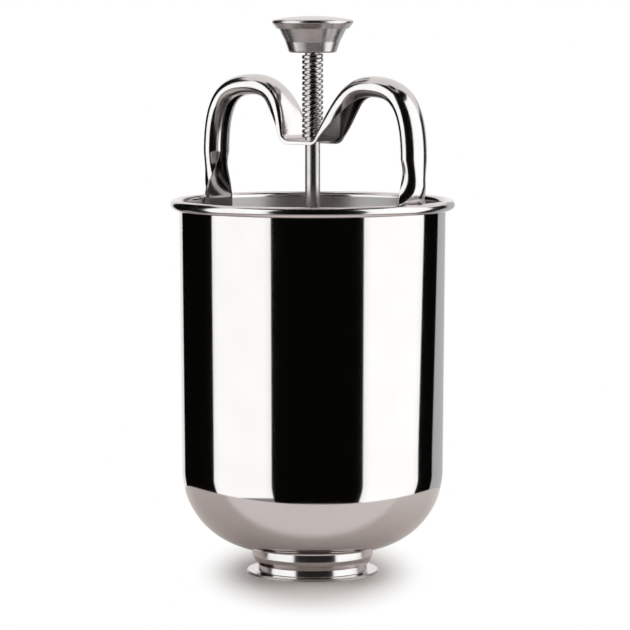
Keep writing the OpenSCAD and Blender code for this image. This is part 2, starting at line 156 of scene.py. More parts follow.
# inside of the tub: left as it was drawn and turned, so fine rings run round it and blur the reflection upwards
turnedSteel = steelMaterial("turned stainless sheet", {
    "colour": "#efe9e6", "markColour": "#e3ddda", "roughness": 0.5, "roughnessSwing": 0.03, "stretch": 0.97,
    "lines": "round", "lineMm": 0.5, "lineLengthMm": 90, "lineDepthMm": 0.002,
    "markMm": 18, "waveMm": 16, "waveDepthMm": 0.004,
})

# rod: cold-drawn stainless bar, whose draw lines blur the reflection sideways into a satin sheen
drawnSteel = steelMaterial("drawn stainless bar", {
    "colour": "#cbc4c1", "markColour": "#bcb5b2", "roughness": 0.25, "roughnessSwing": 0.04, "stretch": 0.6,
    "lines": "along", "lineMm": 0.5, "lineLengthMm": 30, "lineDepthMm": 0.0015,
    "markMm": 9, "waveMm": 12, "waveDepthMm": 0.001,
})

# spring: bright drawn spring wire, a little darker than the sheet
wireSteel = steelMaterial("drawn spring wire", {
    "colour": "#c8c1be", "markColour": "#aea7a4", "roughness": 0.2, "roughnessSwing": 0.03, "stretch": 0.0,
    "lines": "round", "lineMm": 0.25, "lineLengthMm": 6, "lineDepthMm": 0.0008,
    "markMm": 3, "waveMm": 5, "waveDepthMm": 0.0005,
})

# hidden nuts and washers: plain machined steel
machinedSteel = steelMaterial("machined plain steel", {
    "colour": "#b9b7b5", "markColour": "#a19f9d", "roughness": 0.33, "roughnessSwing": 0.07, "stretch": 0.3,
    "lines": "round", "lineMm": 0.3, "lineLengthMm": 10, "lineDepthMm": 0.003,
    "markMm": 4, "waveMm": 6, "waveDepthMm": 0.001,
})
print("materials made")


# points of an arc in the (radius, height) plane
def arc(centre, radius, start, end, steps):
    angles = [math.radians(start + (end - start) * i / steps) for i in range(steps + 1)]
    return [(centre[0] + radius * math.cos(a), centre[1] + radius * math.sin(a)) for a in angles]


# outline of (radius, height, corner radius) with its corners rounded and its long runs divided
def roundOutline(corners, closed=True, stepDegrees=10, longestRun=5.0, besideArc=0.2):
    runs = []
    count = len(corners)
    for i in range(count):
        here = Vector(corners[i][:2])
        before = Vector(corners[i - 1][:2]) - here
        after = Vector(corners[(i + 1) % count][:2]) - here
        size = corners[i][2] if len(corners[i]) > 2 else 0
        if size <= 0:
            runs.append([here])
            continue
        u, v = before.normalized(), after.normalized()
        half = u.angle(v) / 2
        reach = min(size / math.tan(half), 0.45 * before.length, 0.45 * after.length)
        size = reach * math.tan(half)
        middle = here + (u + v).normalized() * size / math.sin(half)
        first, last = here + u * reach - middle, here + v * reach - middle
        turn = first.angle_signed(last)
        steps = max(2, math.ceil(abs(math.degrees(turn)) / stepDegrees))
        base = math.atan2(first.y, first.x)
        runs.append([middle + size * Vector((math.cos(base - turn * k / steps), math.sin(base - turn * k / steps)))
                     for k in range(steps + 1)])
    points = []
    for i in range(count):
        points += runs[i]
        if not closed and i == count - 1:
            break
        start, end = runs[i][-1], runs[(i + 1) % count][0]
        gap = (end - start).length
        if gap > 4 * besideArc:
            points.append(start.lerp(end, besideArc / gap))
            inner = max(1, math.ceil(gap / longestRun))
            points += [start.lerp(end, k / inner) for k in range(1, inner)]
            points.append(start.lerp(end, 1 - besideArc / gap))
    return [(p.x, p.y) for p in points]


# mesh from vertices in mm and faces, smooth apart from true corners
def makeMesh(name, vertices, faces, materials, faceSlots=None, cornerDegrees=40):
    mesh = bpy.data.meshes.new(name)
    mesh.from_pydata([[c * mm for c in v] for v in vertices], [], faces)
    for material in materials:
        mesh.materials.append(material)
    if faceSlots:
        mesh.polygons.foreach_set("material_index", faceSlots)
    shape = bmesh.new()
    shape.from_mesh(mesh)
    bmesh.ops.recalc_face_normals(shape, faces=shape.faces)
    shape.to_mesh(mesh)
    shape.free()
    mesh.shade_smooth()
    mesh.set_sharp_from_angle(angle=math.radians(cornerDegrees))
    piece = bpy.data.objects.new(name, mesh)
    bpy.context.scene.collection.objects.link(piece)
    return piece


# turns an outline about the Z axis; points on the axis become one vertex
def lathe(name, outline, materials, turns=192, slots=None, closed=True):
    vertices, rings, faces, faceSlots = [], [], [], []
    for r, z in outline:
        if r < 1e-6:
            rings.append([len(vertices)] * turns)
            vertices.append((0, 0, z))
            continue
        rings.append(list(range(len(vertices), len(vertices) + turns)))
        vertices += [(r * math.cos(2 * math.pi * k / turns), r * math.sin(2 * math.pi * k / turns), z)
                     for k in range(turns)]
    count = len(outline)
    for i in range(count if closed else count - 1):
        low, high = rings[i], rings[(i + 1) % count]
        for k in range(turns):
            n = (k + 1) % turns
            corners = [low[k], low[n], high[n], high[k]]
            face = [c for j, c in enumerate(corners) if c not in corners[:j]]
            faces.append(face)
            faceSlots.append(slots[i] if slots else 0)
    return makeMesh(name, vertices, faces, materials, faceSlots)


# skin over rings of equal count, each ring closed, with flat ends
def skin(name, rings, materials, cornerDegrees=40, slots=None):
    n = len(rings[0])
    vertices = [p for ring in rings for p in ring]
    faces = []
    faceSlots = slots * (len(rings) - 1) + [0, 0] if slots else None
    for i in range(len(rings) - 1):
        for j in range(n):
            k = (j + 1) % n
            faces.append((i * n + j, i * n + k, (i + 1) * n + k, (i + 1) * n + j))
    faces.append(tuple(range(n)))
    faces.append(tuple((len(rings) - 1) * n + j for j in range(n)))
    return makeMesh(name, vertices, faces, materials, faceSlots, cornerDegrees)


# puts a finished piece on its body in place of its node
def dress(piece, body, slot, *nodes):
    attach(piece, body)
    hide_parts(*nodes)
    print("piece", piece.name, "has", len(piece.data.polygons), "faces")
    return piece


# largest radius, lowest and highest point of a node, in mm
def sizeOf(node):
    low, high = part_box(node)
    return max(high.x, high.y) / mm, low.z / mm, high.z / mm


# tub: drawn sheet with a round bottom and an open curl for a rim
tub = {
    "sheet": 0.6, "bead": 4.2, "curlDegrees": 290, "taper": 0.8, "bowlRadius": 32, "landRadius": 26.3,
    "outletRadius": 23.4, "outletLip": 0.3, "innerBowlShort": 1, "turns": 320, "bowlSteps": 60, "wallSteps": 24,
    "curlSteps": 56, "beadSteps": 64,
}
rimRadius, tubFloor, rimTop = sizeOf("vessel_body")
beadRadius = tub["bead"] / 2
beadMiddle = (rimRadius - beadRadius, rimTop - beadRadius)
wallTop = rimRadius - tub["bead"] + tub["sheet"]
wallLow = wallTop - tub["taper"]
bowlX = wallLow - tub["bowlRadius"]
bowlZ = tubFloor + math.sqrt(tub["bowlRadius"] ** 2 - (tub["landRadius"] - bowlX) ** 2)
innerBowl = tub["bowlRadius"] - tub["sheet"]


# straight wall between two points, divided evenly, with a close ring at each end
def wallPoints(start, end, parts, close=0.004):
    shares = [close] + [k / parts for k in range(1, parts)] + [1 - close]
    return [(start[0] + (end[0] - start[0]) * s, start[1] + (end[1] - start[1]) * s) for s in shares]


def makeTub():
    curlEnd = 180 - tub["curlDegrees"]
    bowlStart = -math.degrees(math.acos((tub["landRadius"] - bowlX) / tub["bowlRadius"]))
    outside = [(tub["outletRadius"], tubFloor), (tub["outletRadius"] + tub["outletLip"], tubFloor)]
    outside += arc((bowlX, bowlZ), tub["bowlRadius"], bowlStart, 0, tub["bowlSteps"])
    outside += wallPoints((wallLow, bowlZ), (wallTop, beadMiddle[1]), tub["wallSteps"])
    bead = len(outside)
    outside += arc(beadMiddle, beadRadius - tub["sheet"], 180, curlEnd, tub["curlSteps"])
    inside = arc(beadMiddle, beadRadius, curlEnd, 180, tub["beadSteps"])
    beadEnd = len(outside) + tub["beadSteps"]    # the bead is polished by hand up to where the inside starts
    inside += wallPoints((wallTop - tub["sheet"], beadMiddle[1]), (wallLow - tub["sheet"], bowlZ), tub["wallSteps"])
    inside += arc((bowlX, bowlZ), innerBowl, 0, bowlStart + tub["innerBowlShort"], tub["bowlSteps"])
    inside += [(tub["outletRadius"], tubFloor + tub["sheet"])]
    outline = outside + inside
    slots = [0 if i < bead else 2 if i < beadEnd else 1 for i in range(len(outline))]
    return lathe("tubShell", outline, [mirrorSteel, turnedSteel, handSteel], tub["turns"], slots)


dress(makeTub(), "vessel", "mirror_steel", "vessel_body")


# neck: soldered collar, a straight band above a short cone
neck = {
    "sheet": 0.6, "mouthRadius": 22.6, "band": 3.2, "bandSpread": 0.26, "bandRound": 0.15, "insideRound": 0.5,
    "flange": 0.7, "lip": 0.25, "lipSheet": 0.15, "lipCorner": 0.1, "lipEdge": 0.05, "edge": 0.2,
}
neckFlangeRadius, neckMouth, neckTop = sizeOf("outlet_neck")
neckRadius = neckFlangeRadius - neck["flange"]


def makeNeck():
    bandZ = neckTop - neck["band"]
    lipZ = neckTop - neck["lipSheet"]
    lipRadius = neckRadius + neck["lip"]
    inner = neckRadius - neck["sheet"]
    corners = [
        (neck["mouthRadius"] - neck["sheet"], neckMouth, neck["edge"]),
        (neck["mouthRadius"], neckMouth, neck["edge"]),
        (neckRadius + neck["bandSpread"], bandZ, neck["bandRound"]),
        (neckRadius, lipZ, neck["lipCorner"]), (lipRadius, lipZ, neck["lipEdge"]),
        (lipRadius, neckTop), (inner, neckTop), (inner, bandZ, neck["insideRound"]),
    ]
    return lathe("outletCollar", roundOutline(corners), [handSteel])


dress(makeNeck(), "vessel", "mirror_steel", "outlet_neck")


# valve: flanged plug with a sloping roof
valve = {
    "sheet": 0.5, "plugRadius": 21.7, "seatZ": 3.6, "draft": 7.5, "plugHigh": 3.6, "footRound": 0.3,
    "shoulder": 1.6, "shoulderSteps": 12, "roofSlope": 15, "roofLand": 5.5, "roofRound": 1.5, "hole": 2.6,
    "edge": 0.18,
}
cupFlangeRadius, cupLow, roofTop = sizeOf("valve_cup")


def makeValveCup():
    slope = math.tan(math.radians(valve["draft"]))
    flangeTop = cupLow + valve["sheet"]
    footRadius = valve["plugRadius"] + (valve["seatZ"] - flangeTop) * slope
    topZ = valve["seatZ"] + valve["plugHigh"]
    topRadius = valve["plugRadius"] - valve["plugHigh"] * slope
    turn = math.radians(valve["draft"])
    middle = (topRadius - valve["shoulder"] * math.cos(turn), topZ - valve["shoulder"] * math.sin(turn))
    roofTurn, steps = 90 - valve["roofSlope"], valve["shoulderSteps"]
    outer = arc(middle, valve["shoulder"], valve["draft"], roofTurn, steps)
    inner = arc(middle, valve["shoulder"] - valve["sheet"], roofTurn, valve["draft"], steps)
    under = roofTop - valve["sheet"]
    innerLand = inner[0][0] - (under - inner[0][1]) / math.tan(math.radians(valve["roofSlope"]))
    wallIn = footRadius - valve["sheet"] / math.cos(turn) + valve["sheet"] * slope
    corners = [(wallIn, cupLow), (cupFlangeRadius, cupLow, valve["edge"])]
    corners += [(cupFlangeRadius, flangeTop, valve["edge"]), (footRadius, flangeTop, valve["footRound"])]
    corners += outer
    corners += [(valve["roofLand"], roofTop, valve["roofRound"]), (valve["hole"], roofTop), (valve["hole"], under)]
    corners += [(innerLand, under)] + inner
    return lathe("valvePlug", roundOutline(corners), [handSteel])


dress(makeValveCup(), "plunger", "mirror_steel", "valve_cup")

# plate: turned disc with a soft edge, which the dispenser stands on
plate = {"edge": 0.2}
plateRadius, plateLow, plateTop = sizeOf("valve_base_plate")


def makePlate():
    rim = [(plateRadius, z, plate["edge"]) for z in (plateLow, plateTop)]
    corners = [(0, plateLow), *rim, (0, plateTop)]
    return lathe("standPlate", roundOutline(corners, closed=False), [turnedSteel], closed=False)


dress(makePlate(), "plunger", "satin_steel", "valve_base_plate")

# rod: drawn bar with a thinner end in the knob and in the valve
rod = {"end": 2.5, "chamfer": 0.3, "turns": 96}
rodRadius, rodLow, rodTop = sizeOf("plunger_rod")
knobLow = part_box("knob_skirt")[0].z / mm


def makeRod():
    corners = [
        (0, rodLow), (rod["end"], rodLow, rod["chamfer"]), (rod["end"], roofTop),
        (rodRadius, roofTop, rod["chamfer"]), (rodRadius, knobLow, rod["chamfer"]),
        (rod["end"], knobLow), (rod["end"], rodTop, rod["chamfer"]), (0, rodTop),
    ]
    return lathe("plungerBar", roundOutline(corners, closed=False), [drawnSteel], rod["turns"], closed=False)


dress(makeRod(), "plunger", "satin_steel", "plunger_rod")

# knob: flared skirt, and a domed cap whose edge is curled under it
knob = {
    "sheet": 0.6, "footRadius": 9.4, "footRound": 0.9, "bendRadius": 10.85, "bendHigh": 4.3, "bendRound": 5,
    "topRadius": 13.7, "shelfRound": 0.2, "mouthRound": 0.3, "hole": 2.6, "capSheet": 0.5, "capEdgeRadius": 14.4,
    "capSide": 2.6, "capRound": 1.0, "capFootRound": 0.2, "lipGap": 0.15, "edge": 0.15,
}
skirtRadius, skirtLow, skirtTop = sizeOf("knob_skirt")
capRadius, capLow, capTop = sizeOf("knob_cap")


def makeSkirt():
    t, foot, turn = knob["sheet"], knob["footRadius"], knob["footRound"]
    bend = (knob["bendRadius"], skirtLow + knob["bendHigh"])
    corners = [(knob["hole"], skirtLow), (foot, skirtLow, turn), (*bend, knob["bendRound"])]
    corners += [(knob["topRadius"], skirtTop - t, knob["shelfRound"])]
    corners += [(skirtRadius, skirtTop - t, knob["edge"]), (skirtRadius, skirtTop, knob["edge"])]
    corners += [(knob["topRadius"] - t, skirtTop, knob["mouthRound"]), (bend[0] - t, bend[1], knob["bendRound"])]
    corners += [(foot - t, skirtLow + t, turn - t / 2), (knob["hole"], skirtLow + t)]
    return lathe("knobSkirt", roundOutline(corners, stepDegrees=3), [knobSteel])


def makeCap():
    t = knob["capSheet"]
    sideTop = capLow + knob["capSide"]
    roundMiddle = (capRadius - knob["capRound"], sideTop)
    domeEdge = sideTop + knob["capRound"]
    domeRise = capTop - domeEdge
    domeRadius = (roundMiddle[0] ** 2 + domeRise ** 2) / (2 * domeRise)
    domeMiddle = (0, capTop - domeRadius)
    tilt = math.degrees(math.asin(roundMiddle[0] / domeRadius))
    side = math.degrees(math.atan2(capRadius - knob["capEdgeRadius"], knob["capSide"]))
    lip = knob["topRadius"] + knob["lipGap"]
    outline = [(0, capTop)] + arc(domeMiddle, domeRadius, 90, 90 - tilt, steps=28)[1:]
    outline += arc(roundMiddle, knob["capRound"], 90 - tilt, -side, steps=24)[1:]
    outline += [(knob["capEdgeRadius"], capLow, knob["capFootRound"]), (lip, capLow, knob["edge"])]
    outline += [(lip, capLow + t, knob["edge"]), (skirtRadius + knob["lipGap"], capLow + t)]
    outline += arc(roundMiddle, knob["capRound"] - t, -side, 90 - tilt, steps=10)
    outline += arc(domeMiddle, domeRadius - t, 90 - tilt, 90, steps=12)[1:-1] + [(0, capTop - t)]
    return lathe("knobCap", roundOutline(outline, closed=False), [knobSteel], closed=False)


dress(makeSkirt(), "plunger", "mirror_steel", "knob_skirt")
dress(makeCap(), "plunger", "mirror_steel", "knob_cap")

# handle: one strip bent into an M, rolled into a flattened tube along the arches, flat at the saddle and the feet
handle = {
    "sheet": 0.8, "archGap": 4, "archWide": 12.6, "archDepth": 8.2, "archRound": 5, "archX": 31.5,
    "saddleRise": 25.8, "bendRadius": 2.8, "turnDepth": 1.9, "turnRadius": 1.2, "footGap": 0.1,
    "shoulderPull": 17, "outerPull": 23, "legTop": 19.5, "legLow": 1, "bulge": 8.6, "bulgeEase": 2.2,
    "flatSteps": 6, "turnSteps": 10, "dropSteps": 4, "saddleSteps": 8, "bendSteps": 16, "archSteps": 60,
    "legSteps": 40, "footSteps": 44, "edgeRound": 0.14, "edgeSteps": 3,
    "weldDrop": (7, 15), "weldRadius": 1.5, "weldDepth": 0.1, "weldFall": 4,
}
arms = {
    1: {"flat": 5.4, "bendDegrees": 66, "innerPull": 9, "topPull": 17},
    -1: {"flat": 6.7, "bendDegrees": 84, "innerPull": 13.7, "topPull": 15},
}
handleLow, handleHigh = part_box("handle")
legX, stripHalf = handleHigh.x / mm, handleHigh.y / mm
archTop, footLow = handleHigh.z / mm, handleLow.z / mm
beadZ = beadMiddle[1]
saddleZ = beadZ + handle["saddleRise"]
legTopZ, legLowZ = beadZ + handle["legTop"], beadZ + handle["legLow"]
archHalf = handle["archGap"] / 2
archWide = handle["archWide"] / 2
archReach = math.pi - math.asin(archHalf / archWide)
archFlat = handle["archDepth"] / (1 - math.cos(archReach)) / archWide


def mix(a, b, t):
    return a + (b - a) * t


def ease(t):
    return t * t * (3 - 2 * t)


def footCrown(z):
    wall = mix(wallLow, wallTop, (z - bowlZ) / (beadZ - bowlZ)) - tub["sheet"]
    return wall - handle["footGap"]


def footDepth(z):
    return footCrown(z) - math.sqrt(footCrown(z) ** 2 - stripHalf ** 2)


def legCrown(z):
    share = min(1, max(0, (z - legLowZ) / handle["bulge"]))
    return mix(legX, footCrown(z), (1 - share) ** handle["bulgeEase"])


def legEdge(z, share):
    return mix(footCrown(z) - footDepth(z), legX - handle["archDepth"], share)


def curveAt(p, t):
    u = 1 - t
    point = p[0] * u ** 3 + p[1] * 3 * u * u * t + p[2] * 3 * u * t * t + p[3] * t ** 3
    way = (p[1] - p[0]) * u * u + (p[2] - p[1]) * 2 * u * t + (p[3] - p[2]) * t * t
    return point, way.normalized()


# point of a section whose edges are turned down: distance across, depth, turn of the face
def turnedPoint(half, depth, size, step):
    flat, turn = half - size, step - handle["flatSteps"]
    if turn <= 0:
        return flat * step / handle["flatSteps"], 0, 0
    if turn <= handle["turnSteps"]:
        a = math.pi / 2 * turn / handle["turnSteps"]
        return flat + size * math.sin(a), size * (1 - math.cos(a)), a
    return half, mix(size, depth, (turn - handle["turnSteps"]) / handle["dropSteps"]), math.pi / 2


# point of a section rolled into an arc, whose depth is pressed by the share flat
def arcPoint(half, depth, flat, step, steps):
    reach = 2 * math.atan(depth / flat / half)
    radius, a = half / math.sin(reach), reach * step / steps
    return radius * math.sin(a), radius * flat * (1 - math.cos(a)), math.atan2(flat * math.sin(a), math.cos(a))


# outer face from the crown to one edge, between turned-down edges and a rolled arc
def stripFace(turned, rolled, share):
    steps = handle["flatSteps"] + handle["turnSteps"] + handle["dropSteps"]
    face = []
    for step in range(steps + 1):
        a, b = turnedPoint(*turned, step), arcPoint(*rolled, step, steps)
        face.append([mix(p, q, share) for p, q in zip(a, b)])
    return face


# stations along one half of the strip: crown point, direction, outer face
def handleStations(arm):
    bend, size, flat = math.radians(arm["bendDegrees"]), handle["bendRadius"], arm["flat"]
    arch = (archHalf, handle["archDepth"], archFlat)
    saddle = stripFace((stripHalf, handle["turnDepth"], handle["turnRadius"]), arch, 0)
    count = handle["saddleSteps"]
    stations = [(Vector((flat * i / count, saddleZ)), Vector((1, 0)), saddle) for i in range(count + 1)]
    for i in range(1, handle["bendSteps"] + 1):
        a = bend * i / handle["bendSteps"]
        crown = Vector((flat + size * math.sin(a), saddleZ + size * (1 - math.cos(a))))
        stations.append((crown, Vector((math.cos(a), math.sin(a))), saddle))
    start, top = stations[-1][0], Vector((handle["archX"], archTop))
    inner = [start, start + stations[-1][1] * arm["innerPull"], top - Vector((arm["topPull"], 0)), top]
    for i in range(1, handle["archSteps"] + 1):
        t = i / handle["archSteps"]
        rise = math.sin(math.pi / 2 * t)
        turned = (mix(stripHalf, archWide, ease(t)), mix(handle["turnDepth"], handle["archDepth"], rise),
                  mix(handle["turnRadius"], min(handle["archRound"], archWide), rise))
        stations.append((*curveAt(inner, t), stripFace(turned, arch, ease(t))))
    outer = [top, top + Vector((handle["shoulderPull"], 0)), Vector((legX, legTopZ + handle["outerPull"])),
             Vector((legX, legTopZ))]
    for i in range(1, handle["archSteps"] + 1):
        stations.append((*curveAt(outer, i / handle["archSteps"]), stations[-1][2]))
    for i in range(1, handle["legSteps"] + 1):
        z = mix(legTopZ, legLowZ, i / handle["legSteps"])
        share = (z - legLowZ) / (legTopZ - legLowZ)
        rolled = (mix(stripHalf, archHalf, ease(share)), legCrown(z) - legEdge(z, share),
                  mix(1, archFlat, ease(share)))
        stations.append((Vector((legCrown(z), z)), Vector((0, -1)), stripFace((*rolled[:2], 0), rolled, 1)))
    for i in range(1, handle["footSteps"] + 1):
        z = mix(legLowZ, footLow, i / handle["footSteps"])
        rolled = (stripHalf, footDepth(z), 1)
        stations.append((Vector((footCrown(z), z)), Vector((0, -1)), stripFace((*rolled[:2], 0), rolled, 1)))
    return stations


# one ring of the strip: outer face, edge with small rounds, inner face, the other edge
def stripRing(station, side):
    crown, way, face = station
    out = Vector((-way.y, way.x))
    sheet, turn, edgeSteps = handle["sheet"], handle["edgeRound"], handle["edgeSteps"]
    across, depth, angle = face[-1]
    along, inward = (math.cos(angle), math.sin(angle)), (-math.sin(angle), math.cos(angle))
    edge = []                                # from the outer face round to the inner face
    for j in range(1, edgeSteps + 1):
        a = math.pi / 2 * j / edgeSteps
        edge.append((turn * math.sin(a), turn * (1 - math.cos(a))))
    for j in range(edgeSteps):
        a = math.pi / 2 * j / edgeSteps
        edge.append((turn * math.cos(a), sheet - turn * (1 - math.sin(a))))
    edge = [(across + (u - turn) * along[0] + v * inward[0], depth + (u - turn) * along[1] + v * inward[1], v)
            for u, v in edge]
    outer = [(y, d, 0) for y, d, a in face[:-1]] + [(across - turn * along[0], depth - turn * along[1], 0)]
    inner = [(y - sheet * math.sin(a), d + sheet * math.cos(a), sheet) for y, d, a in face[:-1]]
    inner.append((across - turn * along[0] + sheet * inward[0], depth - turn * along[1] + sheet * inward[1], sheet))
    half = outer + edge + inner[::-1]        # from the crown over one edge to the crown's inner side
    loop = half + [(-y, d, v) for y, d, v in half[-2:0:-1]]
    ring = []
    for y, d, v in loop:
        p = crown - out * d
        if p.y < legLowZ and v > sheet / 2:
            for drop in handle["weldDrop"]:
                away = math.hypot(y, p.y - (beadZ - drop)) / handle["weldRadius"]
                p = p + out * handle["weldDepth"] * math.exp(-away ** handle["weldFall"])
        ring.append((side * p.x, y, p.y))
    return ring


def makeHandle():
    rings = [stripRing(s, -1) for s in reversed(handleStations(arms[-1])[1:])]
    rings += [stripRing(s, 1) for s in handleStations(arms[1])]
    steps = handle["flatSteps"] + handle["turnSteps"] + handle["dropSteps"]
    polished = steps + 1 + 2 * handle["edgeSteps"]
    # slot 1 holds the inner faces, whose darker steel colour is painted shade
    slots = [1 if polished <= j < polished + 2 * steps else 0 for j in range(len(rings[0]))]
    return skin("fingerHandle", rings, [handSteel, rolledShadedSteel], cornerDegrees=50, slots=slots)


dress(makeHandle(), "vessel", "mirror_steel", "handle")

# spring: wire with a closed turn at each end, drawn a little higher than wide, at the length of its node
spring = {
    "wire": 1.2, "wireAcross": 1.1, "wireHigh": 1.6, "wireSquare": 3, "coilRadius": 3.72, "turns": 14.5,
    "closedTurns": 1, "closedPitch": 1.24, "stepsPerTurn": 48, "sides": 16,
}
springLow, springHigh = (p.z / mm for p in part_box("return_spring"))


def springHeight(turn):
    wire, closed, active = spring["wire"], spring["closedTurns"], spring["turns"]
    low = wire / 2
    rise = springHigh - springLow - wire - 2 * closed * spring["closedPitch"]
    climbed = min(turn, closed) + max(0, turn - closed - active)
    return springLow + low + climbed * spring["closedPitch"] + rise * min(1, max(0, (turn - closed) / active))


# section of the wire, a little flattened against the rod
def wireOutline():
    points = []
    for j in range(spring["sides"]):
        a = 2 * math.pi * j / spring["sides"]
        u, v = (math.copysign(abs(k) ** (2 / spring["wireSquare"]), k) for k in (math.cos(a), math.sin(a)))
        points.append((u * spring["wireAcross"] / 2, v * spring["wireHigh"] / 2))
    return points


def makeSpring():
    total = spring["turns"] + 2 * spring["closedTurns"]
    steps = int(total * spring["stepsPerTurn"])
    rings, outline = [], wireOutline()
    for i in range(steps + 1):
        turn = total * i / steps
        a = 2 * math.pi * turn
        radial, up = Vector((math.cos(a), math.sin(a), 0)), Vector((0, 0, 1))
        middle = radial * spring["coilRadius"] + up * springHeight(turn)
        rings.append([middle + radial * u + up * v for u, v in outline])
    return skin("returnCoil", rings, [wireSteel], cornerDegrees=60)


coil = dress(makeSpring(), "spring", "spring_steel", "return_spring")
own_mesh(coil)

# fasteners keep their solids and take the machined finish
for node in ("knob_washer", "knob_nut", "valve_washer", "valve_nut"):
    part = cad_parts[node]
    part.data.materials.clear()
    part.data.materials.append(machinedSteel)
print("object dressed")

# camera where the photograph was taken, for a square picture
camera = {
    "azimuth": 41.5, "distance": 1.314, "height": 0.2285, "tilt": 5.435, "aside": 0.00096, "lens": 188.57,
    "sensor": 36, "near": 0.05, "far": 50,
}


def makeCamera():
    a, tilt = math.radians(camera["azimuth"]), math.radians(camera["tilt"])
    back, right = Vector((math.sin(a), -math.cos(a), 0)), Vector((math.cos(a), math.sin(a), 0))
    eye = bpy.data.objects.new("camera", bpy.data.cameras.new("camera"))
    eye.data.lens = camera["lens"]
    eye.data.sensor_width = camera["sensor"]
    eye.data.clip_start, eye.data.clip_end = camera["near"], camera["far"]
    eye.location = back * camera["distance"] + right * camera["aside"] + Vector((0, 0, camera["height"]))
    look = -back * math.cos(tilt) - Vector((0, 0, math.sin(tilt)))
    eye.rotation_euler = look.to_track_quat("-Z", "Y").to_euler()
    bpy.context.scene.collection.objects.link(eye)
    bpy.context.scene.camera = eye


makeCamera()
bpy.context.scene.view_settings.view_transform = "Standard"
print("camera set")

# studio: a small pale table, with cards round it that the polished steel shows as stripes
# lengths in m, along the picture to the right and towards the camera
studio = {
    "tableRadius": 0.148, "tableAside": -0.006, "tableBehind": 0.045, "tableDrop": 0.00003,
    # shade values: the ellipse that outlines the painted shadow seen by the camera
    "shadeAside": -0.0008, "shadeHalfWidth": 0.0476, "shadeHalfDepth": 0.1066, "shadeFrom": 0.45, "fibreMm": 0.8,
    # strip and side values: painted light on the table, seen only by metal
    "paintedLightFrom": 0.039, "paintedLightTo": 0.051, "paintedLightShare": 0.6, "paintedSideLightFrom": 0.03, "paintedSideLightTo": 0.12, "paintedSideLightShare": 0.3,
    "cardRadius": 1.37, "leanFrom": -0.143, "leanTo": 0.044, "clothFrom": 0.38, "clothEdgeShare": 0.9,
    "groundRadius": 3, "groundLow": -0.9, "groundNear": 1.0, "groundFar": 1.6, "groundLight": (0.85, 0.4),
    "ceilingRadius": 0.32, "ceilingHigh": 1.9, "worldLight": 0.9,
}
cards = [  # azimuths run from the camera's side, positive to the right; the lower ones hold below the lean
    {"name": "blackBack", "low": -0.4, "from": (-151.4, -151.4), "to": (-122, -122), "high": 1.5, "light": 0},
    {"name": "blackLeft", "low": -0.88, "from": (-122, -122), "to": (-94.8, -94.8), "high": 1.5, "light": 0},
    {"name": "softboxLeft", "low": -0.59, "from": (-94.8, -94.8), "to": (-35.3, -35.3), "high": 1.9, "light": 1.68},
    {"name": "blackFront", "low": -0.82, "from": (-35.3, -35.3), "to": (43.8, 43.8), "high": 1.9, "light": 0},
    {"name": "softboxRight", "low": -0.76, "from": (43.8, 43.8), "to": (104.1, 109.6), "high": 1.9, "light": 1.74},
    {"name": "blackRight", "low": -0.85, "from": (104.1, 109.6), "to": (128.3, 136.0), "high": 0.6, "light": 0},
    {"name": "greyRight", "low": -0.6, "from": (128.3, 136.0), "to": (163.0, 163.0), "high": 0.6, "light": 0.62},
]
canopyCard = {"name": "canopy", "low": 1.9, "from": (-100, -100), "to": (115, 115), "high": 6, "light": 0}


# share of a ray that shows the white background: rays from the camera, and rays off metal or glass
def backgroundShare(tree):
    path = addNode(tree, "ShaderNodeLightPath").outputs
    first = addNode(tree, "ShaderNodeMath", links={0: path["Is Camera Ray"], 1: path["Is Glossy Ray"]},
                    operation="ADD").outputs[0]
    return addNode(tree, "ShaderNodeMath", links={0: first, 1: path["Is Transmission Ray"]},
                   operation="ADD", use_clamp=True).outputs[0]
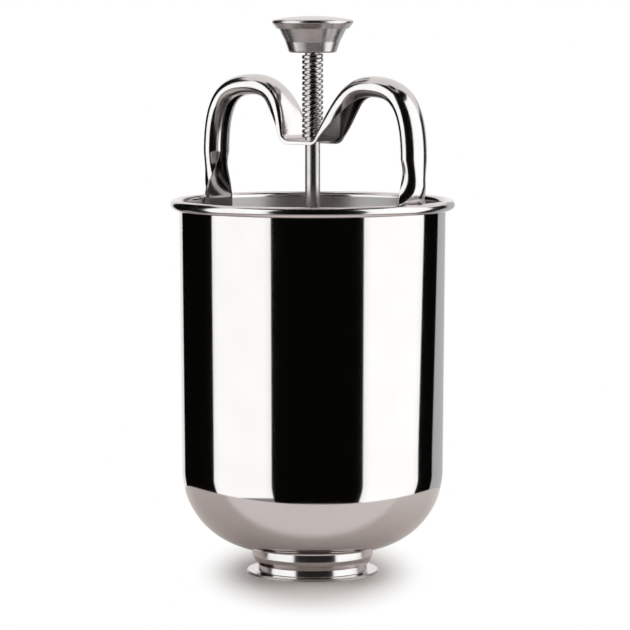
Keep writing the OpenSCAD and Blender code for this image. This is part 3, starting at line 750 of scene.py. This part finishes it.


# matt white table sheet: near the object the camera sees its diffuse shading, real shadow included, inside an ellipse
# whose size paints the shadow's outline, with white background round it;
# metal sees painted light on it: a lit strip beyond the front edge of the shadow, and a lit right side
def tableMaterial():
    material, tree = newMaterial("matt white card")
    place = addNode(tree, "ShaderNodeTexCoord").outputs["Object"]
    shifted = addNode(tree, "ShaderNodeVectorMath", {1: (studio["shadeAside"], 0, 0)}, {0: place},
                      operation="SUBTRACT").outputs[0]
    spread = addNode(tree, "ShaderNodeVectorMath",
                     {1: (1 / studio["shadeHalfWidth"], 1 / studio["shadeHalfDepth"], 0)}, {0: shifted},
                     operation="MULTIPLY").outputs[0]
    away = addNode(tree, "ShaderNodeVectorMath", links={0: spread}, operation="LENGTH").outputs["Value"]
    # painted shadow: inside this ellipse the camera sees the table's dim diffuse shading, outside it white, so the
    # ellipse draws the shadow's outline
    fade = addNode(tree, "ShaderNodeMapRange", {"From Min": studio["shadeFrom"], "From Max": 1.0}, {"Value": away},
                   interpolation_type="SMOOTHSTEP").outputs[0]
    apart = addNode(tree, "ShaderNodeSeparateXYZ", links={0: place}).outputs
    # painted light: metal sees a lit strip on the table in front, beyond the edge of the tub's shadow
    front = addNode(tree, "ShaderNodeMapRange",
                    {"From Min": -studio["paintedLightFrom"], "From Max": -studio["paintedLightTo"],
                     "To Max": studio["paintedLightShare"]},
                    {"Value": apart["Y"]}, interpolation_type="SMOOTHSTEP").outputs[0]
    # painted light: metal sees the right side of the table lit
    side = addNode(tree, "ShaderNodeMapRange",
                   {"From Min": studio["paintedSideLightFrom"], "From Max": studio["paintedSideLightTo"], "To Max": studio["paintedSideLightShare"]},
                   {"Value": apart["X"]}, interpolation_type="SMOOTHSTEP").outputs[0]
    strip = addNode(tree, "ShaderNodeMath", links={0: front, 1: side}, operation="MAXIMUM").outputs[0]
    seen = addNode(tree, "ShaderNodeLightPath").outputs["Is Camera Ray"]
    whole = addNode(tree, "ShaderNodeMix", links={"Factor": seen, "A": strip, "B": fade}).outputs["Result"]
    share = addNode(tree, "ShaderNodeMath", links={0: whole, 1: backgroundShare(tree)},
                    operation="MULTIPLY").outputs[0]
    fibre = addNode(tree, "ShaderNodeTexNoise", {"Scale": 1 / (studio["fibreMm"] * mm), "Detail": 3.0},
                    {"Vector": place}).outputs[0]
    colour = addNode(tree, "ShaderNodeMix", {"A": hexToLinear("#efe5e1"), "B": hexToLinear("#f3e9e5")},
                     {"Factor": fibre}, data_type="RGBA").outputs["Result"]
    matt = addNode(tree, "ShaderNodeBsdfDiffuse", links={"Color": colour}).outputs[0]
    white = addNode(tree, "ShaderNodeEmission", {"Color": (1, 1, 1, 1), "Strength": 1.0}).outputs[0]
    mixed = addNode(tree, "ShaderNodeMixShader", links={"Fac": share, 1: matt, 2: white}).outputs[0]
    addNode(tree, "ShaderNodeOutputMaterial", links={"Surface": mixed})
    return material


# softbox cloth dims towards its two standing edges, black cards are matt cloth
def cardMaterial(card):
    material, tree = newMaterial("softbox cloth" if card["light"] else "black velvet card")
    if card["light"]:
        sheet = addNode(tree, "ShaderNodeUVMap", uv_map="card").outputs[0]
        across = addNode(tree, "ShaderNodeSeparateXYZ", links={0: sheet}).outputs["X"]
        off = addNode(tree, "ShaderNodeMath", {1: 0.5}, {0: across}, operation="SUBTRACT").outputs[0]
        side = addNode(tree, "ShaderNodeMath", links={0: off}, operation="ABSOLUTE").outputs[0]
        glow = addNode(tree, "ShaderNodeMapRange",
                       {"From Min": studio["clothFrom"], "From Max": 0.5, "To Min": card["light"],
                        "To Max": studio["clothEdgeShare"] * card["light"]},
                       {"Value": side}, interpolation_type="SMOOTHSTEP").outputs[0]
        shader = addNode(tree, "ShaderNodeEmission", {"Color": hexToLinear("#f4fbfc")}, {"Strength": glow})
    else:
        shader = addNode(tree, "ShaderNodeBsdfDiffuse", {"Color": hexToLinear("#0b0b09")})
    addNode(tree, "ShaderNodeOutputMaterial", links={"Surface": shader.outputs[0]})
    return material


# grey cloth on the ground below the table, seen by metal that faces down; it glows as painted light, brighter near
# the table and dimmer far off
def groundMaterial():
    material, tree = newMaterial("grey ground cloth glowing as painted light")
    place = addNode(tree, "ShaderNodeTexCoord").outputs["Object"]
    away = addNode(tree, "ShaderNodeVectorMath", links={0: place}, operation="LENGTH").outputs["Value"]
    near, far = studio["groundLight"]
    glow = addNode(tree, "ShaderNodeMapRange",
                   {"From Min": studio["groundNear"], "From Max": studio["groundFar"], "To Min": near, "To Max": far},
                   {"Value": away}).outputs[0]
    shader = addNode(tree, "ShaderNodeEmission", {"Color": hexToLinear("#f4efed")}, {"Strength": glow})
    addNode(tree, "ShaderNodeOutputMaterial", links={"Surface": shader.outputs[0]})
    return material


# stage pieces stand square to the camera: X to the right of the picture, -Y towards the camera
def stagePiece(name, vertices, faces, material, seen=False):
    mesh = bpy.data.meshes.new(name)
    mesh.from_pydata(vertices, [], faces)
    mesh.materials.append(material)
    piece = bpy.data.objects.new(name, mesh)
    piece.rotation_euler = (0, 0, math.radians(camera["azimuth"]))
    piece.visible_camera = seen
    bpy.context.scene.collection.objects.link(piece)
    return piece


# round turntable under the object, a little behind it
def makeTable(steps=180):
    size, aside, behind = studio["tableRadius"], studio["tableAside"], studio["tableBehind"]
    turns = [2 * math.pi * i / steps for i in range(steps)]
    vertices = [(aside + size * math.cos(a), behind + size * math.sin(a), -studio["tableDrop"]) for a in turns]
    return stagePiece("table", vertices, [tuple(range(steps))], tableMaterial(), seen=True)


# standing card, whose edges may lean between two heights
def makeCard(card, steps=24):
    vertices, faces = [], []
    lean = [(max(z, card["low"]), row) for row, z in enumerate((studio["leanFrom"], studio["leanTo"]))]
    rows = [(card["low"], 0), *lean, (card["high"], 1)]
    n = len(rows)
    for i in range(steps + 1):
        for z, row in rows:
            a = math.radians(mix(card["from"][row], card["to"][row], i / steps))
            vertices.append((studio["cardRadius"] * math.sin(a), -studio["cardRadius"] * math.cos(a), z))
    for i in range(steps):
        for k in range(n * i, n * i + n - 1):
            faces.append((k, k + n, k + n + 1, k + 1))
    piece = stagePiece(card["name"], vertices, faces, cardMaterial(card))
    sheet = piece.data.uv_layers.new(name="card")
    for loop, place in zip(piece.data.loops, sheet.data):
        place.uv = (loop.vertex_index // n / steps, rows[loop.vertex_index % n][1])
    return piece


# round sheet level with the cards' foot or top
def makeDisc(name, radius, z, material, steps=72):
    turns = [2 * math.pi * i / steps for i in range(steps)]
    vertices = [(radius * math.cos(a), radius * math.sin(a), z) for a in turns]
    return stagePiece(name, vertices, [tuple(range(steps))], material)


def makeWorld():
    world = bpy.data.worlds.new("white studio")
    world.use_nodes = True
    tree = world.node_tree
    tree.nodes.clear()
    light, white = (addNode(tree, "ShaderNodeBackground", {"Color": (1, 1, 1, 1), "Strength": strength}).outputs[0]
                    for strength in (studio["worldLight"], 1.0))
    mixed = addNode(tree, "ShaderNodeMixShader",
                    links={"Fac": backgroundShare(tree), 1: light, 2: white}).outputs[0]
    addNode(tree, "ShaderNodeOutputWorld", links={"Surface": mixed})
    bpy.context.scene.world = world


makeTable()
for card in cards:
    makeCard(card)
canopy = makeCard(canopyCard)
canopy.visible_diffuse = canopy.visible_shadow = False   # dark for metal only, the table keeps its light
makeDisc("ground", studio["groundRadius"], studio["groundLow"], groundMaterial())
makeDisc("ceiling", studio["ceilingRadius"], studio["ceilingHigh"], cardMaterial(cards[0]))
makeWorld()
print("studio set")
